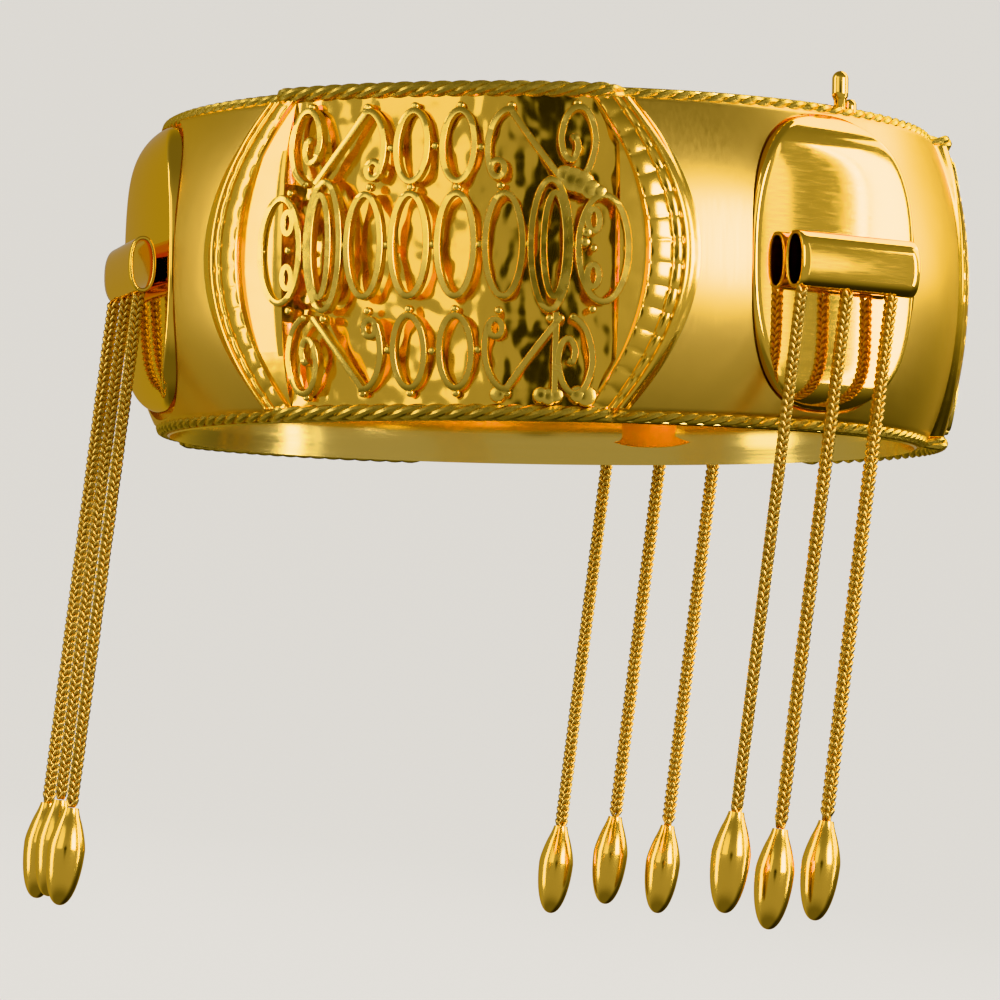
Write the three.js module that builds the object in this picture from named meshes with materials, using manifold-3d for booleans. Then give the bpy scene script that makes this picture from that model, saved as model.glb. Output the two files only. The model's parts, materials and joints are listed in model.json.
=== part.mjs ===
// A wide gold bangle with nine chain tassels, in millimetres, +Z up.
//
// The origin is the centre of the wrist hollow. The band hangs a little tilted, its +X side high,
// and the tassels hang plumb from it. A place on the band is an azimuth about the band's axis
// (0 at the front, on -Y, growing towards +X), a radius and a height. Each piece is made at the
// front and turned to its azimuth.
import * as THREE from 'three';
import { mergeVertices } from 'three/addons/utils/BufferGeometryUtils.js';
import Module from 'manifold-3d';

const wasm = await Module();
wasm.setup();
const deg = THREE.MathUtils.degToRad;

// ---- driving dimensions -------------------------------------------------------------------------
const GAP = 0.3; // clearance between neighbouring pieces
const TILT = deg(6.3); // how far the band's +X side is raised
const AZ_PLATES = [42.4, 161.1, -73.6].map(deg);
const AZ_WINDOWS = [-14.9, 110.6, 224.4].map(deg);

const WRIST_R = 28.6; // radius of the wrist hollow
const BARREL_R = 32.8; // the barrel's largest radius, at mid height
const BARREL_BOW = 26; // radius of the barrel's bowed profile
const BAND_Z = 10.8; // half height of the band between its rope wires

const ROPE_R = 0.6; // radius of the rope wire
const ROPE_Z = 11.7; // height of the rope wire's centre line
const ROPE_ON_BARREL = 29.3; // radius of its centre line along the barrel
const ROPE_ON_WINDOW = 31.7; // the same, along the windows

const FLOOR_R = 31.0; // radius of a window's mirror floor
const FOOT = deg(33.2); // half width of a window at mid height, to the collars' outer feet
const FOOT_CORNER = deg(25.5); // the same at the band's rims
const CREST = deg(28.6); // half width at mid height, to the collars' inner crests
const CREST_CORNER = deg(22.9);
const COLLAR_R = 33.1; // radius of the collars' crests at mid height
const COLLAR_CORNER_R = 31.9; // the same at the band's rims
const COLLAR_Z = 10.6; // half height of a collar and of a panel

const PANEL_R = 32.9; // outer radius of an openwork panel
const PANEL_THICK = 0.9;
const PANEL_HALF = deg(25.2); // half width of a panel at mid height
const PANEL_CORNER = deg(20.8); // the same at the band's rims
const PANEL_TURN = deg(0.4); // how far a panel sits round from its window's centre

const PLATE_W = 8.45; // half width of an oval plate
const PLATE_H = 10.35; // half height
const PLATE_SQUARE = 2.5; // exponent of its outline, 2 for an ellipse
const PLATE_FACE = 32.0; // distance of its face from the band's axis, at mid height
const PLATE_ROLL = 1.5; // how much nearer its top and bottom tips are
const PLATE_THICK = 0.8;

const BAR_HALF = 5.95; // half length of a flattened tube
const BAR_SHIFT = 0.43; // its middle, sideways of the plate's
const BAR_H = 2.15; // half height of its section
const BAR_D = 0.92; // half depth of its section
const BAR_WALL = 0.3;

const CHAIN_R = 0.6;
const CHAIN_PITCH = 4.7; // distance between the chains on one bar
const CHAIN_SHIFT = -0.3; // the middle chain, sideways of the plate's middle
const CHAIN_STEP = 3.4; // length of one step along a chain's tube
const BEAD_LENGTH = 7.0;
// From a bar's underside to the bottom of each bead; a row for each bar, in the order of AZ_PLATES.
const DROPS = [
  [45.65, 46.9, 46.3],
  [47.75, 47.1, 48.0],
  [46.2, 45.9, 46.4],
];

const PIN_AZ = deg(48.0);
const PIN_R = 0.62; // radius of the clasp pin's head
const PIN_TOP = 14.9; // height of its top

// ---- finishes -----------------------------------------------------------------------------------
const gold = (name, color, roughness) => {
  const material = new THREE.MeshStandardMaterial({ color, metalness: 1, roughness });
  material.name = name;
  return material;
};
const satin = gold('satin gold', 0xd2a63a, 0.4);
const polished = gold('polished gold', 0xf0c250, 0.12);
const wire = gold('wire gold', 0xe3b544, 0.22);
const chainGold = gold('chain gold', 0xd8a83c, 0.3);

// ---- solids -------------------------------------------------------------------------------------
// Joins a geometry's corners, so that only positions are left and neighbours share them.
function welded(geometry) {
  const bare = new THREE.BufferGeometry();
  bare.setAttribute('position', geometry.getAttribute('position'));
  if (geometry.index) bare.setIndex(geometry.index);
  return mergeVertices(bare, 1e-4);
}

function toSolid(geometry) {
  const merged = welded(geometry);
  return new wasm.Manifold(
    new wasm.Mesh({
      numProp: 3,
      vertProperties: new Float32Array(merged.getAttribute('position').array),
      triVerts: new Uint32Array(merged.index.array),
    }),
  );
}

function toGeometry(solid) {
  const mesh = solid.getMesh();
  const geometry = new THREE.BufferGeometry();
  geometry.setAttribute('position', new THREE.BufferAttribute(mesh.vertProperties, 3));
  geometry.setIndex(new THREE.BufferAttribute(mesh.triVerts, 1));
  return geometry;
}

// Extrudes an outline drawn as seen from the front (x right, y up) from one distance to another.
function frontPrism(outline, near, far) {
  const geometry = new THREE.ExtrudeGeometry(new THREE.Shape(outline), {
    depth: far - near,
    bevelEnabled: false,
  });
  return geometry.translate(0, 0, near).rotateX(Math.PI / 2);
}

// Revolves a closed outline of (radius, height) points about +Z.
function turned(outline, segments) {
  const points = [...outline, outline[0]].map(([r, z]) => new THREE.Vector2(r, z));
  return new THREE.LatheGeometry(points, segments).rotateX(Math.PI / 2);
}

const onBand = (azimuth, radius, height) =>
  new THREE.Vector3(radius * Math.sin(azimuth), -radius * Math.cos(azimuth), height);

// A closed curved slab. corner(u, v) gives the azimuth, inner radius, outer radius and height at a
// point of its grid, with u and v from 0 to 1 across and up.
function curvedSlab(corner, across, up) {
  const inner = [];
  const outer = [];
  for (let j = 0; j <= up; j++) {
    for (let i = 0; i <= across; i++) {
      const { azimuth, from, to, height } = corner(i / across, j / up);
      inner.push(onBand(azimuth, from, height));
      outer.push(onBand(azimuth, to, height));
    }
  }
  const count = inner.length;
  const at = (i, j) => j * (across + 1) + i;
  const index = [];
  const quad = (a, b, c, d) => index.push(a, b, c, a, c, d);
  for (let j = 0; j < up; j++) {
    for (let i = 0; i < across; i++) {
      const [a, b, c, d] = [at(i, j), at(i + 1, j), at(i + 1, j + 1), at(i, j + 1)];
      quad(count + a, count + b, count + c, count + d);
      quad(d, c, b, a);
    }
    quad(at(0, j), count + at(0, j), count + at(0, j + 1), at(0, j + 1));
    quad(count + at(across, j), at(across, j), at(across, j + 1), count + at(across, j + 1));
  }
  for (let i = 0; i < across; i++) {
    quad(at(i, 0), at(i + 1, 0), count + at(i + 1, 0), count + at(i, 0));
    quad(count + at(i, up), count + at(i + 1, up), at(i + 1, up), at(i, up));
  }
  const geometry = new THREE.BufferGeometry().setFromPoints([...inner, ...outer]);
  geometry.setIndex(index);
  return geometry;
}

// ---- the band -----------------------------------------------------------------------------------
const barrelRadius = (z) => BARREL_R - BARREL_BOW + Math.sqrt(BARREL_BOW ** 2 - z * z);

// Half width of a window's outline at a height: a round "(" on one side and ")" on the other.
function outlineHalf(middle, corner, z) {
  const bow = middle - corner;
  return middle - bow * (z / BAND_Z) ** 2;
}

// A window's outline as a slab between two radii, up to a height either way.
function windowSlab(from, to, reach, margin) {
  const half = (z) => outlineHalf(FOOT, FOOT_CORNER, z) + margin / BARREL_R;
  return curvedSlab((u, v) => {
    const height = (2 * v - 1) * reach;
    return { azimuth: (2 * u - 1) * half(height), from, to, height };
  }, 9, 6);
}

function superellipse(halfWidth, halfHeight, exponent, count) {
  const bent = (value) => Math.sign(value) * Math.abs(value) ** (2 / exponent);
  return Array.from({ length: count }, (_, i) => {
    const angle = (2 * Math.PI * i) / count;
    return new THREE.Vector2(halfWidth * bent(Math.cos(angle)), halfHeight * bent(Math.sin(angle)));
  });
}

const plateOutline = (margin) =>
  superellipse(PLATE_W + margin, PLATE_H + margin, PLATE_SQUARE, 28);

// A strip that follows the plate's roll from tip to tip, cut to the oval.
function makePlate() {
  const steps = 8;
  const face = (z) => PLATE_FACE - PLATE_ROLL * Math.abs(z / PLATE_H) ** 3;
  const heights = Array.from({ length: steps + 1 }, (_, i) => PLATE_H * ((2 * i) / steps - 1));
  const outline = [
    ...heights.map((z) => new THREE.Vector2(z, face(z))),
    ...heights.reverse().map((z) => new THREE.Vector2(z, face(z) - PLATE_THICK)),
  ];
  const width = 2 * (PLATE_W + 1);
  const strip = new THREE.ExtrudeGeometry(new THREE.Shape(outline), {
    depth: width,
    bevelEnabled: false,
  });
  // the strip's outline is (height, distance): lay it as (z, -y) and centre it across
  strip.translate(0, 0, -width / 2);
  strip.applyMatrix4(
    new THREE.Matrix4().makeBasis(
      new THREE.Vector3(0, 0, 1),
      new THREE.Vector3(0, -1, 0),
      new THREE.Vector3(1, 0, 0),
    ),
  );
  const prism = frontPrism(plateOutline(0), PLATE_FACE - 8, PLATE_FACE + 8);
  return toGeometry(toSolid(strip).intersect(toSolid(prism)));
}

function makeBand() {
  const heights = [-1, -0.72, -0.38, 0, 0.38, 0.72, 1].map((share) => share * BAND_Z);
  const barrel = turned(
    [[WRIST_R, -BAND_Z], ...heights.map((z) => [barrelRadius(z), z]), [WRIST_R, BAND_Z]],
    60,
  );
  let solid = toSolid(barrel);
  const pocketFloor = PLATE_FACE - PLATE_ROLL - PLATE_THICK - GAP;
  for (const azimuth of AZ_WINDOWS) {
    // the block fills the barrel's rolled edges out to the floor, and the recess is cut down to it
    const block = windowSlab(WRIST_R + 0.8, FLOOR_R + 0.5, BAND_Z - 0.1, GAP - 0.1);
    const recess = windowSlab(FLOOR_R, FLOOR_R + 4, BAND_Z + 1, GAP);
    block.rotateZ(azimuth);
    recess.rotateZ(azimuth);
    solid = solid.add(toSolid(block)).subtract(toSolid(recess));
  }
  for (const azimuth of AZ_PLATES) {
    const pocket = frontPrism(plateOutline(GAP), pocketFloor, BARREL_R + 4);
    solid = solid.subtract(toSolid(pocket.rotateZ(azimuth)));
  }
  return toGeometry(solid);
}

// ---- rope wires ---------------------------------------------------------------------------------
// The rope's centre line steps out from the barrel to run along each window.
function ropeRadius(azimuth) {
  const spans = AZ_WINDOWS.map((centre) => {
    const away = Math.abs(Math.atan2(Math.sin(azimuth - centre), Math.cos(azimuth - centre)));
    return THREE.MathUtils.smoothstep(-away, -FOOT_CORNER, -CREST_CORNER);
  });
  return THREE.MathUtils.lerp(ROPE_ON_BARREL, ROPE_ON_WINDOW, Math.max(...spans));
}

function makeRope(height) {
  const steps = 72;
  const sides = 6;
  const points = [];
  const index = [];
  for (let i = 0; i < steps; i++) {
    const azimuth = (2 * Math.PI * i) / steps;
    for (let j = 0; j < sides; j++) {
      const angle = (2 * Math.PI * (j + 0.5)) / sides;
      const radius = ropeRadius(azimuth) + ROPE_R * Math.cos(angle);
      points.push(onBand(azimuth, radius, height + ROPE_R * Math.sin(angle)));
      const [a, b] = [i * sides + j, i * sides + ((j + 1) % sides)];
      const next = ((i + 1) % steps) * sides - i * sides;
      index.push(a, a + next, b + next, a, b + next, b);
    }
  }
  const geometry = new THREE.BufferGeometry().setFromPoints(points);
  geometry.setIndex(index);
  return geometry;
}

function ropeRoundPin() {
  const clear = new THREE.CylinderGeometry(PIN_R + GAP, PIN_R + GAP, 4, 12).rotateX(Math.PI / 2);
  clear.translate(0, -ROPE_ON_BARREL, ROPE_Z).rotateZ(PIN_AZ);
  return toGeometry(toSolid(makeRope(ROPE_Z)).subtract(toSolid(clear)));
}

// ---- window pieces ------------------------------------------------------------------------------
// A collar is the crescent between a window's outer foot and its inner crest, on one side of it.
function makeCollar(side) {
  return curvedSlab((u, v) => {
    const height = (2 * v - 1) * COLLAR_Z;
    const foot = outlineHalf(FOOT, FOOT_CORNER, height);
    const crest = outlineHalf(CREST, CREST_CORNER, height);
    const azimuth = THREE.MathUtils.lerp(crest, foot, side > 0 ? u : 1 - u) * side;
    const share = (height / COLLAR_Z) ** 2;
    const to = THREE.MathUtils.lerp(COLLAR_R, COLLAR_CORNER_R, share);
    return { azimuth, from: FLOOR_R + GAP, to, height };
  }, 1, 6);
}

// The openings of a panel, the same on both sides of its centre: azimuth in degrees, height of the
// centre either way, half width and half height in millimetres.
const PANEL_OPENINGS = [
  { at: 3.05, height: 0, halfWidth: 1.05, halfHeight: 3.1 },
  { at: 9.2, height: 0, halfWidth: 1.05, halfHeight: 3.1 },
  { at: 15.2, height: 0, halfWidth: 1.2, halfHeight: 4.0 },
  { at: 21.3, height: 0, halfWidth: 1.4, halfHeight: 2.9 },
  { at: 2.8, height: 7.4, halfWidth: 0.85, halfHeight: 2.3 },
  { at: 11.2, height: 7.4, halfWidth: 2.6, halfHeight: 2.2 },
  { at: 18.2, height: 7.6, halfWidth: 0.9, halfHeight: 1.7 },
];

function makePanel() {
  let solid = toSolid(
    curvedSlab((u, v) => {
      const height = (2 * v - 1) * COLLAR_Z;
      const azimuth = (2 * u - 1) * outlineHalf(PANEL_HALF, PANEL_CORNER, height);
      return { azimuth, from: PANEL_R - PANEL_THICK, to: PANEL_R, height };
    }, 10, 4),
  );
  for (const { at, height, halfWidth, halfHeight } of PANEL_OPENINGS) {
    for (const level of height ? [-height, height] : [0]) {
      for (const side of [-1, 1]) {
        const outline = superellipse(halfWidth, halfHeight, 2, 8);
        const cutter = frontPrism(outline, PANEL_R - 3, PANEL_R + 3);
        cutter.translate(0, 0, level).rotateZ(side * deg(at));
        solid = solid.subtract(toSolid(cutter));
      }
    }
  }
  return toGeometry(solid);
}

// ---- plates, bars and clasp pin -----------------------------------------------------------------
const BAR_AXIS = PLATE_FACE + GAP + BAR_D; // distance of a bar's centre line from the band's axis

function makeBar() {
  const ring = (shrink) => superellipse(BAR_D - shrink, BAR_H - shrink, 2, 14);
  const shape = new THREE.Shape(ring(0));
  shape.holes.push(new THREE.Path(ring(BAR_WALL)));
  const tube = new THREE.ExtrudeGeometry(shape, { depth: 2 * BAR_HALF, bevelEnabled: false });
  tube.translate(0, 0, -BAR_HALF).rotateY(Math.PI / 2);
  tube.rotateX(Math.PI / 2);
  return tube.translate(BAR_SHIFT, -BAR_AXIS, 0);
}

function makePin() {
  const foot = BAND_Z + GAP;
  const outline = [
    [0, foot],
    [0.5, foot],
    [0.5, 13.0],
    [PIN_R, 13.2],
    [PIN_R, PIN_TOP - 0.6],
    [0.4, PIN_TOP - 0.12],
    [0, PIN_TOP],
  ].map(([r, z]) => new THREE.Vector2(r, z));
  const pin = new THREE.LatheGeometry(outline, 10).rotateX(Math.PI / 2);
  return pin.translate(0, -ROPE_ON_BARREL, 0);
}

// ---- tassels ------------------------------------------------------------------------------------
// A plumb tube that hangs from its origin along its straight route.
function makeChain(length) {
  const route = new THREE.LineCurve3(new THREE.Vector3(), new THREE.Vector3(0, 0, -length));
  const section = new THREE.Shape(superellipse(CHAIN_R, CHAIN_R, 2, 8));
  return new THREE.ExtrudeGeometry(section, {
    steps: Math.round(length / CHAIN_STEP),
    extrudePath: route,
  });
}

// A pear-shaped drop with a tapering neck, hanging from its origin.
function makeBead() {
  const outline = [
    [0, 0],
    [0.6, 0],
    [0.8, 0.12],
    [1.15, 0.32],
    [1.45, 0.55],
    [1.38, 0.73],
    [0.95, 0.91],
    [0, 1],
  ].map(([r, share]) => new THREE.Vector2(r, -share * BEAD_LENGTH));
  return new THREE.LatheGeometry(outline.reverse(), 8).rotateX(Math.PI / 2);
}

// ---- assembly -----------------------------------------------------------------------------------
const bangle = new THREE.Group();
const band = new THREE.Group();
band.rotation.y = -TILT;
bangle.add(band);

function add(parent, name, geometry, material, azimuth = 0) {
  const mesh = new THREE.Mesh(geometry, material.clone());
  mesh.name = name;
  mesh.rotation.z = azimuth;
  parent.add(mesh);
  return mesh;
}

add(band, 'band', makeBand(), satin);
add(band, 'rope_wire_top', ropeRoundPin(), wire);
add(band, 'rope_wire_bottom', makeRope(-ROPE_Z), wire);
add(band, 'clasp_pin', makePin(), polished, PIN_AZ);

AZ_WINDOWS.forEach((azimuth, i) => {
  add(band, `openwork_panel_${i + 1}`, makePanel(), wire, azimuth + PANEL_TURN);
  add(band, `collar_${i + 1}_left`, makeCollar(-1), polished, azimuth);
  add(band, `collar_${i + 1}_right`, makeCollar(1), polished, azimuth);
});

bangle.updateMatrixWorld(true);
AZ_PLATES.forEach((azimuth, i) => {
  add(band, `oval_plate_${i + 1}`, makePlate(), polished, azimuth);
  add(band, `bar_${i + 1}`, makeBar(), polished, azimuth);
  DROPS[i].forEach((drop, j) => {
    const hook = new THREE.Vector3((j - 1) * CHAIN_PITCH + CHAIN_SHIFT, -BAR_AXIS, -BAR_H);
    band.localToWorld(hook.applyAxisAngle(new THREE.Vector3(0, 0, 1), azimuth));
    const length = drop - BEAD_LENGTH - 2 * GAP;
    const chain = add(bangle, `chain_${i + 1}_${j + 1}`, makeChain(length), chainGold);
    chain.position.copy(hook).z -= GAP;
    const bead = add(bangle, `drop_bead_${i + 1}_${j + 1}`, makeBead(), polished);
    bead.position.copy(chain.position).z -= length + GAP;
  });
});

export default bangle;
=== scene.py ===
import json
from math import atan2, cos, pi, radians, sin, sqrt, tau

import bmesh
import bpy
from bpy.props import FloatProperty, FloatVectorProperty, IntProperty, PointerProperty
from mathutils import Matrix, Quaternion, Vector


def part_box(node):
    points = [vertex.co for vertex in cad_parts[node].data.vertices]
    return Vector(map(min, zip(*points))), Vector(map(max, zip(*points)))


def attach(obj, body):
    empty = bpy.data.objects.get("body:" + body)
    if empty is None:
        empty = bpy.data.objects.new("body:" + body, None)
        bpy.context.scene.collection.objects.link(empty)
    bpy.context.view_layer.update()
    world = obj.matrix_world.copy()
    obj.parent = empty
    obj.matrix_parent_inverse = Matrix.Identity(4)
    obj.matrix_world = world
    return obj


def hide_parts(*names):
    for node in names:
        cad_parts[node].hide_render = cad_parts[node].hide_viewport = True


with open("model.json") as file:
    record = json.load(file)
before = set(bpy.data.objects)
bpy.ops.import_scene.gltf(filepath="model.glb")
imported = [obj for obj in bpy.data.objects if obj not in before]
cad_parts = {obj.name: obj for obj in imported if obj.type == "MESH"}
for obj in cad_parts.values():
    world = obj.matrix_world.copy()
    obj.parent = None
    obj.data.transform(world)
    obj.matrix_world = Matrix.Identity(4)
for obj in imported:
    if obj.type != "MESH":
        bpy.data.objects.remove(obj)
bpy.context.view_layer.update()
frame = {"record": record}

bl_info = {
    "name": "Gold bangle with chain tassels",
    "version": (1, 0, 0),
    "blender": (4, 5, 0),
    "location": "View3D > Sidebar > Bangle",
    "description": "Makes a wide gold bangle with openwork windows, oval plates and tassels",
    "category": "Add Mesh",
}

# A place on the band is an azimuth about its axis (0 at the front, on -Y, growing towards +X),
# a radius and a height. Pieces of the band are made in its own upright millimetres and then
# tilted with it. The tassels hang plumb.
MM = 0.001
WRIST_AXIS = next(m for m in frame["record"]["mounts"] if m["name"] == "wrist")["axis"]
TILT = Matrix.Rotation(atan2(WRIST_AXIS[0], WRIST_AXIS[2]), 4, "Y")
PLATES = [radians(a) for a in (42.4, 161.1, -73.6)]
WINDOWS = [radians(a) for a in (-15.2, 110.3, 224.1)]
PLATE_SQUARENESS = 2.5  # exponent of the oval plates' outline: 2 would be a plain ellipse
PLATE_POINTS = 128  # points round that outline


def linear(hex_colour):
    """An sRGB hex colour as linear red, green and blue."""
    parts = (int(hex_colour[i : i + 2], 16) / 255 for i in (1, 3, 5))
    return tuple(c / 12.92 if c <= 0.04045 else ((c + 0.055) / 1.055) ** 2.4 for c in parts)


# ---- sizes and colours a user would change ----
def size(name, description, millimetres):
    """A length property whose default is given in millimetres."""
    return FloatProperty(
        name=name, description=description, default=millimetres * MM, unit="LENGTH", min=0.0
    )


def angle(name, description, default_degrees):
    return FloatProperty(
        name=name, description=description, default=radians(default_degrees), subtype="ANGLE"
    )


def colour(name, description, hex_colour):
    return FloatVectorProperty(
        name=name, description=description, default=linear(hex_colour), subtype="COLOR",
        min=0.0, max=1.0,
    )


class BangleBand(bpy.types.PropertyGroup):
    """The barrel, its lining and its rope edging."""

    barrel: size("Barrel radius", "Radius of the barrel at mid height", 32.8)
    bow: size("Barrel bow", "Radius of the barrel's bowed profile", 26.0)
    half_height: size("Half height", "Half height of the barrel", 11.5)
    wrist: size("Wrist radius", "Radius of the hollow that the wrist goes through", 28.6)
    lining: size("Lining thickness", "Thickness of the lining behind the barrel", 0.8)
    strand: size("Strand radius", "Radius of one strand of the rope edging", 0.31)
    rope_height: size("Rope height", "Height of the rope edging above mid height", 11.72)
    lay: size("Rope lay", "Length of one full turn of the rope's strands", 4.2)
    strands: IntProperty(name="Strands", description="Strands in the rope", default=3, min=2)


class BangleWindow(bpy.types.PropertyGroup):
    """The windows: mirror floor, fluted collars and openwork."""

    floor: size("Floor radius", "Radius of the mirror floor", 31.0)
    reach: size("Reach", "Height at which a window's corner widths are measured", 10.8)
    foot: angle("Foot", "Half width of a window to its collars' feet", 33.8)
    foot_corner: angle("Foot corner", "The same at the window's corners", 26.6)
    crest: angle("Crest", "Half width of a window to its collars' crests", 28.3)
    crest_corner: angle("Crest corner", "The same at the window's corners", 22.0)
    crest_radius: size("Crest radius", "Radius of a collar's crest", 33.1)
    shelf: size("Shelf radius", "Radius of the smooth shelf inside a collar's crest", 32.55)
    shelf_left: angle("Left shelf end", "From a window's middle to the left shelf's end", 21.1)
    shelf_right: angle("Right shelf end", "From a window's middle to the right shelf's end", 24.6)
    flute: size("Flute pitch", "Distance from one flute of a collar to the next", 1.56)
    flute_depth: size("Flute depth", "Depth of the cuts between flutes", 0.09)
    tracery: size("Tracery radius", "Radius of the openwork's outer face", 32.9)
    ribbon: size("Tracery width", "Width of the openwork's ribbons", 0.5)
    ribbon_depth: size("Tracery depth", "Depth of the openwork's ribbons", 0.8)


class BanglePlate(bpy.types.PropertyGroup):
    """The oval plates with their bars, and the clasp pin."""

    half_width: size("Half width", "Half width of an oval plate", 8.45)
    half_height: size("Half height", "Half height of an oval plate", 10.95)
    rise: size("Rise", "Height of a plate's middle above mid height", 0.15)
    face: size("Face", "Distance of its face from the band's axis", 32.0)
    roll: size("Roll", "How much nearer its top and bottom tips are", 1.5)
    crown: size("Crown", "Radius of the slight crown across it", 150.0)
    bar_half: size("Bar half length", "Half length of a bar's flattened tube", 5.92)
    bar_shift: size("Bar shift", "Middle of a bar, sideways of its plate's", 0.43)
    bar_turn: angle("Bar turn", "Slight turn with which a bar is soldered on", -2.2)
    bar_rise: size("Bar half height", "Half height of the tube's section", 2.12)
    bar_depth: size("Bar half depth", "Half depth of the tube's section", 1.02)
    bar_wall: size("Bar wall", "Wall thickness of the tube", 0.28)


class BangleTassel(bpy.types.PropertyGroup):
    """The chains and their drop beads."""

    link_pitch: size("Link pitch", "Rise from one chain link to the next", 0.26)
    link_wire: size("Link wire", "Radius of the links' wire", 0.145)
    link_reach: size("Link reach", "Half width of a link", 0.42)
    bead: size("Bead radius", "Radius of a drop bead at its belt", 1.43)


class BangleFinish(bpy.types.PropertyGroup):
    """The gold's colours."""

    gold: colour("Polished gold", "Colour of polished 22 carat yellow gold", "#FFD164")
    satin: colour("Satin gold", "Colour of the brushed barrel", "#F2C868")
    filed: colour("Filed gold", "Colour of the openwork", "#F4D06C")
    wire: colour("Drawn gold", "Colour of the rope edging", "#D6B65E")
    lining: colour("Lining gold", "Colour of the band's inside", "#F7D67C")
    edge: colour("Grazing tint", "Colour that the gold keeps where it is seen edge on", "#FFE5A0")
    chain: colour("Chain gold", "Colour of the chains", "#E6C06A")


class BangleStage(bpy.types.PropertyGroup):
    """Floor, paper and camera lens."""

    floor_drop: size("Floor drop", "Distance of the floor below the wrist hollow's centre", 64.0)
    paper: colour("Paper", "Colour of the floor and backdrop", "#ECE9E4")
    lens: FloatProperty(name="Lens", description="Focal length", default=182.1, unit="CAMERA")


def sizes(group):
    return getattr(bpy.context.scene, "bangle_" + group)


# ---- making meshes ----
CREASE = 38.0  # degrees: a bend sharper than this is shaded as an edge
WELD = 0.001  # millimetres: points nearer than this are joined


def on_band(azimuth, radius, height):
    return Vector((radius * sin(azimuth), -radius * cos(azimuth), height))


def lerp(a, b, share):
    return a + (b - a) * share


def smooth(share):
    share = min(max(share, 0.0), 1.0)
    return share * share * (3 - 2 * share)


def away(azimuth, centre):
    """Signed angle from centre to azimuth, between -pi and pi."""
    return atan2(sin(azimuth - centre), cos(azimuth - centre))


def turn_to(azimuth, points):
    turn = Matrix.Rotation(azimuth, 3, "Z")
    return [turn @ p for p in points]


def superellipse(half_width, half_height, exponent, count):
    def bent(value):
        return (1 if value > 0 else -1) * abs(value) ** (2 / exponent)

    angles = [tau * i / count for i in range(count)]
    return [(half_width * bent(cos(a)), half_height * bent(sin(a))) for a in angles]


class Stock:
    """The points and faces of one piece while it is made, in millimetres."""

    def __init__(self):
        self.points = []
        self.faces = []

    def loft(self, rings, closed=False, lid=True):
        """A skin over a row of rings, each closed on itself. An open row is capped at its start,
        and with a lid at its end."""
        start, count, sides = len(self.points), len(rings), len(rings[0])
        for ring in rings:
            self.points.extend(ring)
        for i in range(count if closed else count - 1):
            a, b = start + i * sides, start + (i + 1) % count * sides
            for j in range(sides):
                k = (j + 1) % sides
                self.faces.append((a + j, a + k, b + k, b + j))
        if not closed:
            self.faces.append(tuple(start + j for j in reversed(range(sides))))
        if lid and not closed:
            last = start + (count - 1) * sides
            self.faces.append(tuple(last + j for j in range(sides)))
        return self

    def wire(self, path, radius, sides, across):
        """A round wire along a closed path. across(i) is a vector that isn't along it at point i."""
        rings = []
        for i, point in enumerate(path):
            along = (path[(i + 1) % len(path)] - path[i - 1]).normalized()
            side = along.cross(across(i)).normalized()
            up = side.cross(along)
            rings.append([
                point + (side * cos(tau * j / sides) + up * sin(tau * j / sides)) * radius
                for j in range(sides)
            ])
        return self.loft(rings, closed=True)

    def lathe(self, profile, sides, centre=Vector(), lid=True):
        """Turns a profile of (radius, height) points about an upright line through centre."""
        return self.loft([
            [centre + on_band(tau * j / sides, radius, height) for j in range(sides)]
            for radius, height in profile
        ], lid=lid)

    def mesh(self, name, unit=MM):
        """The stock as a mesh in metres. Its own unit is the millimetre unless another is given."""
        mesh = bpy.data.meshes.new(name)
        mesh.from_pydata([p * unit for p in self.points], [], self.faces)
        return mesh


def placed(name, data):
    """A new object in the scene."""
    thing = bpy.data.objects.new(name, data)
    bpy.context.scene.collection.objects.link(thing)
    return thing


def make_piece(name, stock, finish, node, tilted=True, crease=CREASE):
    """Turns stock into an object that stands for a CAD node and rides with the bangle."""
    mesh = stock.mesh(name)
    work = bmesh.new()
    work.from_mesh(mesh)
    bmesh.ops.remove_doubles(work, verts=work.verts, dist=WELD * MM)
    bmesh.ops.recalc_face_normals(work, faces=work.faces)
    work.to_mesh(mesh)
    work.free()
    mesh.shade_smooth()
    mesh.set_sharp_from_angle(angle=radians(crease))
    mesh.materials.append(finish_of(finish))
    piece = placed(name, mesh)
    if tilted:
        piece.matrix_world = TILT
    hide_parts(node)
    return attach(piece, "root")


def cut_away(piece, stock):
    """Cuts a closed stock out of a piece."""
    mesh = stock.mesh("cutter")
    cutter = placed("cutter", mesh)
    cutter.matrix_world = piece.matrix_world
    cut = piece.modifiers.new("pocket", "BOOLEAN")
    cut.operation, cut.solver, cut.object = "DIFFERENCE", "EXACT", cutter
    ready = piece.evaluated_get(bpy.context.evaluated_depsgraph_get())
    old, piece.data = piece.data, bpy.data.meshes.new_from_object(ready)
    piece.modifiers.clear()
    piece.data.set_sharp_from_angle(angle=radians(CREASE))
    if len(piece.data.polygons) <= len(old.polygons) // 2:
        raise RuntimeError("the pocket took away the piece " + piece.name)
    bpy.data.objects.remove(cutter)
    bpy.data.meshes.remove(mesh)
    bpy.data.meshes.remove(old)


# ---- materials ----
def add(tree, kind, settings=None, **links):
    """Adds a node. settings are its attributes, or values of inputs by name or number; links joins
    inputs, by name with spaces as underscores, to other nodes' outputs."""
    node = tree.nodes.new(kind)
    for key, value in (settings or {}).items():
        if isinstance(key, int) or key in node.inputs:
            node.inputs[key].default_value = value
        else:
            setattr(node, key, value)
    for key, socket in links.items():
        at = int(key[1:]) if key[0] == "_" else key.replace("_", " ")
        tree.links.new(socket, node.inputs[at])
    return node


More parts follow.
